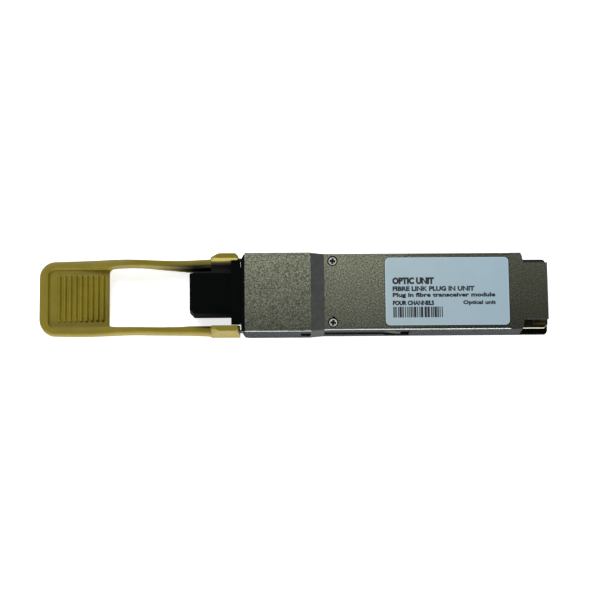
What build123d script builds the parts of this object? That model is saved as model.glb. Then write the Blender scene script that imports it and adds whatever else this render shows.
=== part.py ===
"""Pluggable four channel optical transceiver module with a pull tab and a dust plug.

Frame, in millimetres: X runs towards the card edge, Z is up through the label and Y is across.
The origin is on the centre line of the underside, at the shoulder that stops the module in its cage.
"""
from build123d import *
import os

os.makedirs("parts", exist_ok=True)

# ---------------------------------------------------------------- driving dimensions
BODY_HALF = 18.35 / 2          # half width of the part that goes into the cage
BODY_TOP = 8.5                 # height of the label side
NOSE_HALF = 19.0 / 2           # half width of the part that stays outside the cage
NOSE_TOP = 8.75
NOSE_CUT_HALF = 6.6            # the lower front corners of the nose are cut outside this width
NOSE_FRONT = -18.8
BEZEL_FRONT = -19.7            # black bezel on the front of the nose
BAND_FRONT = -3.2              # the gasket band runs from here to the shoulder at x = 0
BAND_HALF = 8.95               # half width of the core inside the gasket
BAND_LOW = 0.25
BAND_TOP = 8.25
WALL_END = 46.9
FLOOR_END = 53.3
FLOOR = 1.0                    # thickness of the floor
FLOOR_TAIL_HALF = 9.1

COVER_UNDER = 7.45             # underside of the cover plate
COVER_HALF = 8.55
COVER_NOSE_HALF = 8.85
SEAM = 0.05                    # gap between the cover and the walls beside it
EAR_START = 43.9               # where the cover widens over the walls
TONGUE_HALF = 6.8
TONGUE_END = 52.85

PORT_HALF = 6.3                # fibre port, across
PORT_LOW = 0.7
PORT_TOP = 7.9
PORT_BACK = -3.7
PORT_MID = (PORT_LOW + PORT_TOP) / 2
RECEPTACLE_FRONT = -11.0

ARM_IN = 8.5                   # stamped latch arms lie between these two widths
ARM_OUT = 8.8
ARM_LOW = 2.9
ARM_TOP = 5.7
ARM_GAP = 0.1                  # running clearance round an arm
GROOVE_OPEN = -5.5             # forward of this the arm runs inside the nose wall
POCKET = (14.3, 20.1)          # latch pocket along X
POCKET_Z = (1.5, 7.0)
TIP_OUT = 9.1

CARD_LOW = 3.5
CARD_TOP = 4.5
CARD_FRONT = 6.0
CARD_END = 53.0
CARD_NARROW = 7.0              # half width between the latch channels
CARD_HALF = 8.2
CARD_STEP = 23.0               # where the card widens
CARD_CUT = 0.8

SCREW_X = 2.0
SCREW_Y = 7.4
SCREW_HEAD_R = 0.92
SCREW_WELL_R = 1.22
SCREW_R = 0.7
SCREW_WELL_Z = 7.9

LABEL_X = (14.39, 43.65)
LABEL_HALF = 8.17
LABEL_T = 0.08
LABEL_WELL = 0.1
LABEL_GAP = 0.16               # between the label and the rim of its recess

PAD_PITCH = 0.8
PAD_COUNT = 19
PAD_W = 0.54
PAD_X = (49.5, 52.5)
PAD_T = 0.04

SPRING_Y = 7.68
SPRING_R = 0.5                 # mean coil radius
SPRING_WIRE = 0.12             # wire radius
SPRING_X = (-17.1, -11.1)
SPRING_TURNS = 8
SPRING_SLOT = (-17.2, -9.0)

TAB_END = -67.6
TAB_TOP = 3.0
TAB_CREST = 1.1                # how far the side arms rise at the middle of the window
ARM_TALL = 4.2                 # height of the side arms
WINDOW_FRONT = -50.95
BOSS_X = (-26.8, -19.85)
BOSS_Y = (7.75, 9.35)          # between the lip below the top and the outer face
BOSS_TOP = 9.2
BOSS_LIP_Z = 7.8               # the inner face leans in below this height and out above it
BOSS_LIP = 0.4
BOSS_SLOPE = 1.6
BOSS_END_LEAN = 0.6            # the end towards the nose is this much shorter at the top
BOSS_CUT_Z = 4.2               # the outer corners are cut above this height, most at the top
BOSS_CUTS = ((0, 1.9, 0.9), (1, -1.1, 1.4))   # end of the boss, cut along X, cut along Y
CUT_START = 0.02
RIB_COUNT = 9
RIB_PITCH = 1.3
RIB_FIRST = -62.9
RIB_HALF = 5.45
RIB_THICK = 0.6
RIB_LOW = 0.2
RIB_RISE = 0.5                 # above the panel
PANEL_LOW = 0.75
PANEL_TOP = 2.35
PANEL_HALF = 7.15
PANEL_RIM = 2.2                # width of the rim round the end of the panel


def block(low, high, mode=Mode.ADD):
    """Add a rectangular block between two opposite corners to the part being built."""
    size = [b - a for a, b in zip(low, high)]
    with Locations(low):
        Box(*size, align=(Align.MIN, Align.MIN, Align.MIN), mode=mode)


def both_sides(low, high, mode=Mode.ADD):
    """Add the same block on the +Y and the -Y side."""
    block(low, high, mode)
    block((low[0], -high[1], low[2]), (high[0], -low[1], high[2]), mode)


def save(builder, label):
    """Name a finished piece and write it to its own file."""
    builder.part.label = label
    export_step(builder.part, f"parts/{label}.step")


# ---------------------------------------------------------------- lower housing
WALL_TOP_CHAMFER = 0.15
NOSE_CUT = 1.5
CAST_PADS = ((-8.7, -7.0), (-6.5, -4.8))
CAST_PAD_Y = (9.0, 9.4)
CAST_PAD_TALL = 0.1
CAST_PAD_ROOT = 0.8
END_CUT = 0.4
CAVITY_HALF = 7.2
CAVITY_WIDE = 8.3
PILLAR_X = (0.4, 3.6)
LEDGE = 0.8
SLOT_Z = 3.55
POST_X = 25.0
POST_Y = 6.5
POST_R = 1.3
CARD_SCREW_R = 0.5

with BuildPart() as housing:
    # body between the shoulder and the end of the walls
    with BuildSketch(Plane.YZ):
        with Locations((0, BODY_TOP / 2)):
            Rectangle(2 * BODY_HALF, BODY_TOP)
        chamfer(vertices().group_by(Axis.Y)[-1], length=WALL_TOP_CHAMFER)
        fillet(vertices().group_by(Axis.Y)[0], radius=0.3)
    extrude(amount=WALL_END)
    # cut corners at the wall ends
    with BuildSketch(Plane.XY.offset(FLOOR)):
        for side in (1, -1):
            with BuildLine():
                Polyline((WALL_END - END_CUT, side * BODY_HALF), (WALL_END, side * BODY_HALF),
                         (WALL_END, side * (BODY_HALF - END_CUT)), close=True)
            make_face()
    extrude(amount=BODY_TOP, mode=Mode.SUBTRACT)
    # core under the gasket band
    block((BAND_FRONT, -BAND_HALF, BAND_LOW), (0, BAND_HALF, BAND_TOP))
    # nose
    with BuildSketch(Plane.YZ.offset(NOSE_FRONT)):
        with Locations((0, NOSE_TOP / 2)):
            Rectangle(2 * NOSE_HALF, NOSE_TOP)
        chamfer(vertices().group_by(Axis.Y)[-1], length=WALL_TOP_CHAMFER)
        fillet(vertices().group_by(Axis.Y)[0], radius=0.5)
    extrude(amount=BAND_FRONT - NOSE_FRONT)
    # cut lower corners at the front of the nose
    with BuildSketch(Plane.XZ):
        with BuildLine():
            Polyline((NOSE_FRONT, 0), (NOSE_FRONT + NOSE_CUT, 0), (NOSE_FRONT, NOSE_CUT), close=True)
        make_face()
    extrude(amount=NOSE_HALF, both=True, mode=Mode.SUBTRACT)
    block((NOSE_FRONT, -NOSE_CUT_HALF, 0), (NOSE_FRONT + NOSE_CUT, NOSE_CUT_HALF, NOSE_CUT))
    # small cast pads on the edges of the nose
    for pad in CAST_PADS:
        both_sides((pad[0], CAST_PAD_Y[0], NOSE_TOP - CAST_PAD_ROOT),
                   (pad[1], CAST_PAD_Y[1], NOSE_TOP + CAST_PAD_TALL))
    # floor that runs on below the card edge
    with BuildSketch():
        with Locations(((WALL_END + FLOOR_END) / 2 - 1, 0)):
            Rectangle(FLOOR_END - WALL_END + 2, 2 * FLOOR_TAIL_HALF)
        fillet(vertices().group_by(Axis.X)[-1], radius=0.9)
    extrude(amount=FLOOR)
    # seat of the cover
    seat_body = COVER_HALF + SEAM
    seat_nose = COVER_NOSE_HALF + SEAM
    block((BAND_FRONT, -seat_body, COVER_UNDER), (WALL_END, seat_body, NOSE_TOP), Mode.SUBTRACT)
    block((NOSE_FRONT, -seat_nose, COVER_UNDER), (BAND_FRONT, seat_nose, NOSE_TOP), Mode.SUBTRACT)
    block((EAR_START - SEAM, -BODY_HALF, COVER_UNDER), (WALL_END, BODY_HALF, BODY_TOP), Mode.SUBTRACT)
    # main cavity, wider behind the latch pockets
    block((-2.6, -CAVITY_HALF, FLOOR), (WALL_END, CAVITY_HALF, COVER_UNDER), Mode.SUBTRACT)
    block((CARD_STEP - 0.2, -CAVITY_WIDE, FLOOR), (WALL_END, CAVITY_WIDE, COVER_UNDER), Mode.SUBTRACT)
    both_sides((PILLAR_X[0], 5.9, FLOOR), (PILLAR_X[1], CAVITY_HALF, COVER_UNDER))
    both_sides((CARD_FRONT + 1, CAVITY_HALF - LEDGE, FLOOR), (CARD_STEP - 1, CAVITY_HALF, CARD_LOW))
    both_sides((CARD_STEP - 0.2, CAVITY_WIDE - LEDGE, FLOOR), (WALL_END - 1, CAVITY_WIDE, CARD_LOW))
    # fibre port and the window behind it
    block((NOSE_FRONT, -PORT_HALF, PORT_LOW), (PORT_BACK, PORT_HALF, COVER_UNDER), Mode.SUBTRACT)
    block((PORT_BACK, -3.9, 2.4), (-2.6, 3.9, 6.2), Mode.SUBTRACT)
    # channels for the latch arms: inside the nose wall first, open to the side further back
    channel_low = ARM_LOW - 2 * ARM_GAP
    channel_top = ARM_TOP + 2 * ARM_GAP
    both_sides((NOSE_FRONT, ARM_IN - ARM_GAP, channel_low), (0, ARM_OUT + ARM_GAP, channel_top),
               Mode.SUBTRACT)
    both_sides((BAND_FRONT, ARM_IN, channel_low), (0, BAND_HALF, channel_top), Mode.SUBTRACT)
    both_sides((GROOVE_OPEN, ARM_IN, channel_low), (BAND_FRONT, NOSE_HALF, channel_top), Mode.SUBTRACT)
    both_sides((0, ARM_IN - ARM_GAP, channel_low), (POCKET[1], BODY_HALF, channel_top), Mode.SUBTRACT)
    both_sides((POCKET[0], ARM_IN - ARM_GAP, POCKET_Z[0]), (POCKET[1], BODY_HALF, POCKET_Z[1]),
               Mode.SUBTRACT)
    # slots for the return springs, open to the top
    both_sides((SPRING_SLOT[0], SPRING_Y - 0.7, SLOT_Z), (SPRING_SLOT[1], ARM_IN, COVER_UNDER),
               Mode.SUBTRACT)
    # posts under the card and every threaded hole
    with BuildSketch(Plane.XY.offset(FLOOR)):
        with Locations((POST_X, POST_Y), (POST_X, -POST_Y)):
            Circle(POST_R)
    extrude(amount=CARD_LOW - FLOOR)
    with BuildSketch(Plane.XY.offset(FLOOR + 0.6)):
        with Locations((POST_X, POST_Y), (POST_X, -POST_Y)):
            Circle(CARD_SCREW_R)
    extrude(amount=CARD_LOW, mode=Mode.SUBTRACT)
    with BuildSketch(Plane.XY.offset(3.2)):
        with Locations((SCREW_X, SCREW_Y), (SCREW_X, -SCREW_Y)):
            Circle(SCREW_R)
    extrude(amount=BODY_TOP, mode=Mode.SUBTRACT)
save(housing, "lower_housing")

# ---------------------------------------------------------------- upper cover
PEDESTAL = (26.5, 34.5)
PEDESTAL_HALF = 4.0
PEDESTAL_LOW = 6.2
TONGUE_LOW = 7.6
GUIDE_NOTCH_R = 0.28

with BuildPart() as cover:
    block((0, -COVER_HALF, COVER_UNDER), (WALL_END, COVER_HALF, BODY_TOP))
    block((BAND_FRONT, -COVER_HALF, COVER_UNDER), (0, COVER_HALF, BAND_TOP))
    block((NOSE_FRONT, -COVER_NOSE_HALF, COVER_UNDER), (BAND_FRONT, COVER_NOSE_HALF, NOSE_TOP))
    # tail: full width ears over the walls, then the tongue above the card edge
    with BuildSketch(Plane.XY.offset(COVER_UNDER)):
        with BuildLine():
            Polyline((EAR_START, -BODY_HALF), (WALL_END - 0.3, -BODY_HALF), (WALL_END, -8.4),
                     (WALL_END + 0.3, -TONGUE_HALF), (WALL_END + 0.3, TONGUE_HALF), (WALL_END, 8.4),
                     (WALL_END - 0.3, BODY_HALF), (EAR_START, BODY_HALF), close=True)
        make_face()
    extrude(amount=BODY_TOP - COVER_UNDER)
    block((WALL_END, -TONGUE_HALF, TONGUE_LOW), (TONGUE_END, TONGUE_HALF, BODY_TOP))
    # pedestal that takes the heat of the controller
    block((PEDESTAL[0], -PEDESTAL_HALF, PEDESTAL_LOW), (PEDESTAL[1], PEDESTAL_HALF, COVER_UNDER))
    # roof of the fibre port
    block((NOSE_FRONT, -PORT_HALF, COVER_UNDER), (PORT_BACK, PORT_HALF, PORT_TOP), Mode.SUBTRACT)
    # shallow recess of the label
    with BuildSketch(Plane.XY.offset(BODY_TOP - LABEL_WELL)):
        with Locations(((LABEL_X[0] + LABEL_X[1]) / 2, 0)):
            RectangleRounded(LABEL_X[1] - LABEL_X[0] + 2 * LABEL_GAP, 2 * (LABEL_HALF + LABEL_GAP), 1.1)
    extrude(amount=1, mode=Mode.SUBTRACT)
    # screw wells, each with a small notch at its rim
    with BuildSketch(Plane.XY.offset(SCREW_WELL_Z)):
        with Locations((SCREW_X, SCREW_Y), (SCREW_X, -SCREW_Y)):
            Circle(SCREW_WELL_R)
        with Locations((SCREW_X + 0.15, SCREW_Y + SCREW_WELL_R), (SCREW_X + 0.15, -SCREW_Y + SCREW_WELL_R)):
            Circle(GUIDE_NOTCH_R)
    extrude(amount=1, mode=Mode.SUBTRACT)
    with BuildSketch(Plane.XY.offset(COVER_UNDER)):
        with Locations((SCREW_X, SCREW_Y), (SCREW_X, -SCREW_Y)):
            Circle(SCREW_R)
    extrude(amount=1, mode=Mode.SUBTRACT)
save(cover, "upper_cover")

# ---------------------------------------------------------------- cover screws
HEAD_TOP = 8.35
CROSS_W = 0.36
CROSS_LONG = 1.36
CROSS_DEPTH = 0.4
CROSS_TURN = -22

with BuildPart() as cover_screws:
    with BuildSketch(Plane.XY.offset(SCREW_WELL_Z)):
        with Locations((SCREW_X, SCREW_Y), (SCREW_X, -SCREW_Y)):
            Circle(SCREW_HEAD_R)
    extrude(amount=HEAD_TOP - SCREW_WELL_Z)
    with BuildSketch(Plane.XY.offset(3.4)):
        with Locations((SCREW_X, SCREW_Y), (SCREW_X, -SCREW_Y)):
            Circle(SCREW_R)
    extrude(amount=SCREW_WELL_Z - 3.4)
    with BuildSketch(Plane.XY.offset(HEAD_TOP - CROSS_DEPTH)):
        with Locations((SCREW_X, SCREW_Y), (SCREW_X, -SCREW_Y)):
            Rectangle(CROSS_LONG, CROSS_W, rotation=CROSS_TURN)
            Rectangle(CROSS_W, CROSS_LONG, rotation=CROSS_TURN)
    extrude(amount=1, mode=Mode.SUBTRACT)
save(cover_screws, "cover_screws")

# ---------------------------------------------------------------- gasket band
with BuildPart() as gasket:
    with BuildSketch(Plane.YZ.offset(BAND_FRONT)):
        with Locations((0, NOSE_TOP / 2)):
            RectangleRounded(2 * NOSE_HALF - 0.04, NOSE_TOP - 0.04, 0.4)
    with BuildSketch(Plane.YZ):
        with Locations((0, BODY_TOP / 2)):
            RectangleRounded(2 * BODY_HALF + 0.02, BODY_TOP, 0.4)
    loft()
    block((BAND_FRONT, -BAND_HALF, BAND_LOW), (0, BAND_HALF, BAND_TOP), Mode.SUBTRACT)
save(gasket, "emi_gasket")

# ---------------------------------------------------------------- label
with BuildPart() as label:
    with BuildSketch(Plane.XY.offset(BODY_TOP - LABEL_WELL)):
        with Locations(((LABEL_X[0] + LABEL_X[1]) / 2, 0)):
            RectangleRounded(LABEL_X[1] - LABEL_X[0], 2 * LABEL_HALF, 1.0)
    extrude(amount=LABEL_T)
save(label, "product_label")

# ---------------------------------------------------------------- latch arms
ARM_START = -24.6
TIP_BEND = 14.6
TIP_FLARE = 17.2
TIP_END = 18.0
EAR_X = -11.0
EAR_T = 0.3

for side, name in ((1, "left"), (-1, "right")):
    with BuildPart() as arm:
        with BuildSketch(Plane.XY.offset(ARM_LOW)):
            with BuildLine():
                Polyline((ARM_START, side * ARM_IN), (TIP_BEND, side * ARM_IN),
                         (TIP_FLARE, side * (TIP_OUT - 0.3)), (TIP_END, side * (TIP_OUT - 0.3)),
                         (TIP_END, side * TIP_OUT), (TIP_FLARE, side * TIP_OUT),
                         (TIP_BEND, side * ARM_OUT), (ARM_START, side * ARM_OUT), close=True)
            make_face()
        extrude(amount=ARM_TOP - ARM_LOW)
        # ear that bears on the return spring
        ear_y = sorted((side * (SPRING_Y - 0.6), side * (ARM_IN + 0.1)))
        block((EAR_X, ear_y[0], SLOT_Z + 0.1), (EAR_X + EAR_T, ear_y[1], SLOT_Z + 1.4))
    save(arm, f"{name}_latch_arm")

# ---------------------------------------------------------------- return springs
with BuildPart() as springs:
    for side in (1, -1):
        coil_length = SPRING_X[1] - SPRING_X[0] - 2 * SPRING_WIRE
        with BuildLine() as coil:
            Helix(pitch=coil_length / SPRING_TURNS, height=coil_length, radius=SPRING_R,
                  center=(SPRING_X[0] + SPRING_WIRE, side * SPRING_Y, SLOT_Z + 0.75), direction=(1, 0, 0))
        with BuildSketch(Plane(origin=coil.line @ 0, z_dir=coil.line % 0)):
            Circle(SPRING_WIRE)
        sweep(path=coil.line, is_frenet=True)
save(springs, "latch_return_springs")

# ---------------------------------------------------------------- pull tab
SIDE_RADIUS = 3.9
RIDGE_X = (-60.0, -46.0, -34.0)      # the arms start to rise, crest and come down here
OUTLINE_X = (-63.0, -46.0, -36.6, -29.0)
OUTER_HALF = (8.95, 8.97, 8.88, 9.05)
INNER_HALF = (7.3, 7.45, 7.3, 7.4)
ARM_TALL_BACK = 3.8            # height of the arms where they meet the bosses
FOOT_HALF = 6.45               # the arms widen inwards to a low foot that runs on under the bosses
FOOT_TOP = 1.2

with BuildPart() as tab:
    # plan of the loop
    with BuildSketch():
        with BuildLine():
            outer = [(x, y) for x, y in zip(OUTLINE_X, OUTER_HALF)]
            rim = Spline(outer + [(BOSS_X[0] + 0.8, BOSS_Y[1] - 0.1)])
            Line((BOSS_X[0] + 0.8, BOSS_Y[1] - 0.1), (BOSS_X[0] + 0.8, 0))
            Line((BOSS_X[0] + 0.8, 0), (TAB_END, 0))
            Line((TAB_END, 0), (TAB_END, OUTER_HALF[0] - SIDE_RADIUS))
            corner = TangentArc((TAB_END, OUTER_HALF[0] - SIDE_RADIUS),
                                (TAB_END + SIDE_RADIUS, OUTER_HALF[0]), tangent=(0, 1))
            Line(corner @ 1, rim @ 0)
        make_face()
        mirror(about=Plane.XZ)
    extrude(amount=BODY_TOP)
    # window between the arms, open behind the bosses
    with BuildSketch():
        with BuildLine():
            inner = [(x, y) for x, y in zip(OUTLINE_X[1:], INNER_HALF[1:])]
            lip = Spline([(WINDOW_FRONT + 1.2, INNER_HALF[0])] + inner)
            Line(lip @ 1, (BOSS_X[0] + 1.2, BOSS_Y[0]))
            Line((BOSS_X[0] + 1.2, BOSS_Y[0]), (BOSS_X[0] + 1.2, 0))
            Line((BOSS_X[0] + 1.2, 0), (WINDOW_FRONT, 0))
            Line((WINDOW_FRONT, 0), (WINDOW_FRONT, INNER_HALF[0] - 1.2))
            TangentArc((WINDOW_FRONT, INNER_HALF[0] - 1.2), lip @ 0, tangent=(0, 1))
        make_face()
        mirror(about=Plane.XZ)
    extrude(amount=BODY_TOP, mode=Mode.SUBTRACT)
    # side view: a flat grip, then arms that rise to a crest and fall again
    with BuildSketch(Plane.XZ):
        with BuildLine():
            under = Spline((RIDGE_X[0], 0), (RIDGE_X[1], TAB_CREST), (RIDGE_X[2], 0),
                           tangents=((1, 0), (1, 0)))
            over = Spline((RIDGE_X[0], TAB_TOP), (RIDGE_X[1], TAB_CREST + ARM_TALL),
                          (RIDGE_X[2], ARM_TALL_BACK),
                          tangents=((1, 0), (1, 0)))
            Line((TAB_END, 0), under @ 0)
            Line(under @ 1, (BOSS_X[1], 0))
            Line((BOSS_X[1], 0), (BOSS_X[1], ARM_TALL_BACK))
            Line((BOSS_X[1], ARM_TALL_BACK), over @ 1)
            Line(over @ 0, (TAB_END, TAB_TOP))
            Line((TAB_END, TAB_TOP), (TAB_END, 0))
        make_face()
    extrude(amount=2 * NOSE_HALF, both=True, mode=Mode.INTERSECT)
    # rounded outer rim of the grip
    grip_rim = edges().filter_by_position(Axis.X, TAB_END - 0.1, TAB_END + SIDE_RADIUS + 0.1)
    fillet(grip_rim.filter_by(lambda e: abs(e.bounding_box().size.Z) < 0.01), radius=0.7)
    # sunken panel with ribs, the same on both faces
    panel_front = TAB_END + PANEL_RIM
    for low, high in ((PANEL_TOP, BODY_TOP), (-1, PANEL_LOW)):
        with BuildSketch(Plane.XY.offset(low)):
            with Locations(((panel_front + WINDOW_FRONT) / 2 + 1, 0)):
                Rectangle(WINDOW_FRONT - panel_front + 2, 2 * PANEL_HALF)
            fillet(vertices().group_by(Axis.X)[0], radius=1.6)
        extrude(amount=high - low, mode=Mode.SUBTRACT)
    for i in range(RIB_COUNT):
        rib_x = RIB_FIRST + i * RIB_PITCH
        block((rib_x - RIB_THICK / 2, -RIB_HALF, RIB_LOW),
              (rib_x + RIB_THICK / 2, RIB_HALF, PANEL_TOP + RIB_RISE))
    # low feet inside the arms
    for side in (1, -1):
        with BuildSketch():
            with BuildLine():
                Polyline((RIDGE_X[1] + 2, side * (INNER_HALF[1] + 0.3)), (RIDGE_X[2] + 3, side * FOOT_HALF),
                         (BOSS_X[0], side * FOOT_HALF), (BOSS_X[0], side * (BOSS_Y[0] + 0.1)),
                         close=True)
            make_face()
        extrude(amount=FOOT_TOP)
    # bosses moulded round the latch arms
    for side in (1, -1):
        with BuildSketch():
            with BuildLine():
                Polyline((BOSS_X[0], side * FOOT_HALF), (BOSS_X[1], side * FOOT_HALF),
                         (BOSS_X[1], side * BOSS_Y[1]), (BOSS_X[0], side * BOSS_Y[1]), close=True)
            make_face()
        extrude(amount=BOSS_TOP)
        # the inner face leans, so the bosses clear the flange of the dust plug
        with BuildSketch(Plane.YZ.offset(RIDGE_X[2])):
            with BuildLine():
                Polyline((side * FOOT_HALF, 0), (side * BOSS_Y[0], BOSS_LIP_Z),
                         (side * (BOSS_Y[0] + BOSS_LIP), BOSS_TOP), (0, BOSS_TOP), (0, 0), close=True)
            make_face()
        extrude(amount=BOSS_X[1] - RIDGE_X[2], mode=Mode.SUBTRACT)
        # outer corners, cut away more and more towards the top
        for end, along, across in BOSS_CUTS:
            for height, share in ((BOSS_CUT_Z, CUT_START), (BOSS_TOP, 1)):
                with BuildSketch(Plane.XY.offset(height)):
                    with BuildLine():
                        Polyline((BOSS_X[end], side * BOSS_Y[1]),
                                 (BOSS_X[end] + share * along, side * BOSS_Y[1]),
                                 (BOSS_X[end], side * (BOSS_Y[1] - share * across)), close=True)
                    make_face()
            loft(mode=Mode.SUBTRACT)
    # cut corner at the grip end of the bosses, leaning face at the nose end
    with BuildSketch(Plane.XZ):
        with BuildLine():
            Polyline((BOSS_X[0], BOSS_TOP - BOSS_SLOPE), (BOSS_X[0], BOSS_TOP),
                     (BOSS_X[0] + 1.0, BOSS_TOP), close=True)
        make_face()
        with BuildLine():
            Polyline((BOSS_X[1], 0), (BOSS_X[1] - BOSS_END_LEAN, BOSS_TOP), (BOSS_X[1], BOSS_TOP),
                     close=True)
        make_face()
    extrude(amount=2 * NOSE_HALF, both=True, mode=Mode.SUBTRACT)
    both_sides((ARM_START, ARM_IN, ARM_LOW), (BOSS_X[1], ARM_OUT, ARM_TOP), Mode.SUBTRACT)
save(tab, "pull_tab")

# ---------------------------------------------------------------- dust plug
FLANGE_X = (-22.0, -19.75)
FLANGE_HALF = 7.6
FLANGE_LOW_HALF = 6.25         # narrower at the bottom, beside the leaning bosses and the feet
FLANGE_Z = (0.4, 8.3)
GRIP_X = -31.8
GRIP_HALF = 4.9
GRIP_Z = (2.0, 7.6)
GRIP_RADIUS = 0.4
GRIP_CUT = 1.1                 # one corner of the grip is cut off
INSERT_END = -11.4
INSERT_GAP = 0.15
INSERT_WALL = 0.6

with BuildPart() as plug:
    with BuildSketch(Plane.XY.offset(GRIP_Z[0])):
        with Locations(((GRIP_X + FLANGE_X[0]) / 2, 0)):
            Rectangle(FLANGE_X[0] - GRIP_X, 2 * GRIP_HALF)
        grip_corners = vertices().group_by(Axis.X)[0].sort_by(Axis.Y)
        chamfer(grip_corners[0], length=GRIP_CUT)
        fillet(grip_corners[-1], radius=GRIP_RADIUS)
    extrude(amount=GRIP_Z[1] - GRIP_Z[0])
    with BuildSketch(Plane.YZ.offset(FLANGE_X[0])):
        with BuildLine():
            Polyline((-FLANGE_LOW_HALF, FLANGE_Z[0]), (FLANGE_LOW_HALF, FLANGE_Z[0]),
                     (FLANGE_HALF, FLANGE_Z[1]), (-FLANGE_HALF, FLANGE_Z[1]), close=True)
        make_face()
    extrude(amount=FLANGE_X[1] - FLANGE_X[0])
    insert_half = PORT_HALF - INSERT_GAP
    insert_z = (PORT_LOW + INSERT_GAP, PORT_TOP - INSERT_GAP)
    block((FLANGE_X[1], -insert_half, insert_z[0]), (INSERT_END, insert_half, insert_z[1]))
    block((NOSE_FRONT + 0.2, -insert_half + INSERT_WALL, insert_z[0] + INSERT_WALL),
          (INSERT_END, insert_half - INSERT_WALL, insert_z[1] - INSERT_WALL), Mode.SUBTRACT)
save(plug, "dust_plug")

# ---------------------------------------------------------------- front bezel
BEZEL_HALF = 9.2
BEZEL_Z = (0.25, 8.45)
BEZEL_CUT_X = 0.7              # cut corners in plan
BEZEL_CUT_Y = 1.5
BEZEL_SIDE_LOW = 1.6           # the sides stop at this height

with BuildPart() as bezel:
    with BuildSketch(Plane.YZ.offset(BEZEL_FRONT)):
        with Locations((0, (BEZEL_Z[0] + BEZEL_Z[1]) / 2)):
            RectangleRounded(2 * BEZEL_HALF, BEZEL_Z[1] - BEZEL_Z[0], 0.4)
    extrude(amount=NOSE_FRONT - BEZEL_FRONT)
    for side in (1, -1):
        with BuildSketch():
            with BuildLine():
                Polyline((BEZEL_FRONT, side * (BEZEL_HALF - BEZEL_CUT_Y)), (BEZEL_FRONT, side * BEZEL_HALF),
                         (BEZEL_FRONT + BEZEL_CUT_X, side * BEZEL_HALF), close=True)
            make_face()
        extrude(amount=BEZEL_Z[1], mode=Mode.SUBTRACT)
    both_sides((BEZEL_FRONT, NOSE_CUT_HALF, 0), (NOSE_FRONT, BEZEL_HALF, BEZEL_SIDE_LOW), Mode.SUBTRACT)
    block((BEZEL_FRONT, -PORT_HALF, PORT_LOW), (NOSE_FRONT, PORT_HALF, PORT_TOP), Mode.SUBTRACT)
    both_sides((BEZEL_FRONT, ARM_IN - ARM_GAP, ARM_LOW - 2 * ARM_GAP),
               (NOSE_FRONT, ARM_OUT + ARM_GAP, ARM_TOP + 2 * ARM_GAP), Mode.SUBTRACT)
save(bezel, "front_bezel")

# ---------------------------------------------------------------- fibre receptacle and ferrule
FERRULE_HALF = 3.2
FERRULE_TALL = 2.45
FERRULE_X = (-13.0, -5.0)
PIN_Y = 2.3
PIN_R = 0.35
RIBBON_HALF = 1.55
RIBBON_T = 0.32

with BuildPart() as receptacle:
    block((RECEPTACLE_FRONT, -PORT_HALF + 0.05, PORT_LOW), (PORT_BACK, PORT_HALF - 0.05, PORT_TOP))
    block((RECEPTACLE_FRONT, -FERRULE_HALF - 0.05, PORT_MID - 1.28),
          (PORT_BACK, FERRULE_HALF + 0.05, PORT_MID + 1.28), Mode.SUBTRACT)
    block((FERRULE_X[1] - 1, -3.9, PORT_MID - 1.8), (PORT_BACK, 3.9, PORT_MID + 1.8), Mode.SUBTRACT)
    # hooks that hold a fibre connector, each with a barb
    both_sides((-16.0, 4.9, PORT_MID - 1.3), (RECEPTACLE_FRONT, 5.3, PORT_MID + 1.3))
    both_sides((-16.0, 4.5, PORT_MID - 1.3), (-15.2, 4.9, PORT_MID + 1.3))
save(receptacle, "fibre_receptacle")

with BuildPart() as ferrule:
    block((FERRULE_X[0], -FERRULE_HALF, PORT_MID - FERRULE_TALL / 2),
          (FERRULE_X[1], FERRULE_HALF, PORT_MID + FERRULE_TALL / 2))
    block((FERRULE_X[1] - 0.9, -3.8, PORT_MID - 1.7), (FERRULE_X[1], 3.8, PORT_MID + 1.7))
    with BuildSketch(Plane.YZ.offset(FERRULE_X[0])):
        with Locations((PIN_Y, PORT_MID), (-PIN_Y, PORT_MID)):
            Circle(PIN_R)
    extrude(amount=FERRULE_X[1] - FERRULE_X[0], mode=Mode.SUBTRACT)
    block((FERRULE_X[1] - 3, -RIBBON_HALF, PORT_MID - RIBBON_T / 2),
          (FERRULE_X[1], RIBBON_HALF, PORT_MID + RIBBON_T / 2), Mode.SUBTRACT)
save(ferrule, "mt_ferrule")

with BuildPart() as guide_pins:
    with BuildSketch(Plane.YZ.offset(-15.0)):
        with Locations((PIN_Y, PORT_MID), (-PIN_Y, PORT_MID)):
            Circle(PIN_R)
    extrude(amount=10.6)
    chamfer(faces().sort_by(Axis.X)[:2].edges(), length=0.12)
save(guide_pins, "guide_pins")

with BuildPart() as pin_keeper:
    block((FERRULE_X[1], -3.6, PORT_MID - 1.6), (FERRULE_X[1] + 0.8, 3.6, PORT_MID + 1.6))
    with BuildSketch(Plane.YZ.offset(FERRULE_X[1])):
        with Locations((PIN_Y, PORT_MID), (-PIN_Y, PORT_MID)):
            Circle(PIN_R)
        with Locations((0, PORT_MID)):
            Rectangle(2 * RIBBON_HALF, 0.9)
    extrude(amount=1, mode=Mode.SUBTRACT)
save(pin_keeper, "pin_keeper")

# ---------------------------------------------------------------- optical engine on the card
LENS_X = (12.5, 17.5)
LENS_HALF = 3.0
LENS_Z = (5.1, 6.5)
RIBBON_END_Z = 5.8

with BuildPart() as ribbon:
    with BuildSketch(Plane.XZ.offset(-RIBBON_HALF)):
        with BuildLine():
            FilletPolyline((FERRULE_X[1] - 3, PORT_MID), (1.0, PORT_MID), (7.5, RIBBON_END_Z),
                           (LENS_X[0] + 1.5, RIBBON_END_Z), radius=6)
        trace(line_width=RIBBON_T)
    extrude(amount=2 * RIBBON_HALF)
save(ribbon, "fibre_ribbon")

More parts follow.
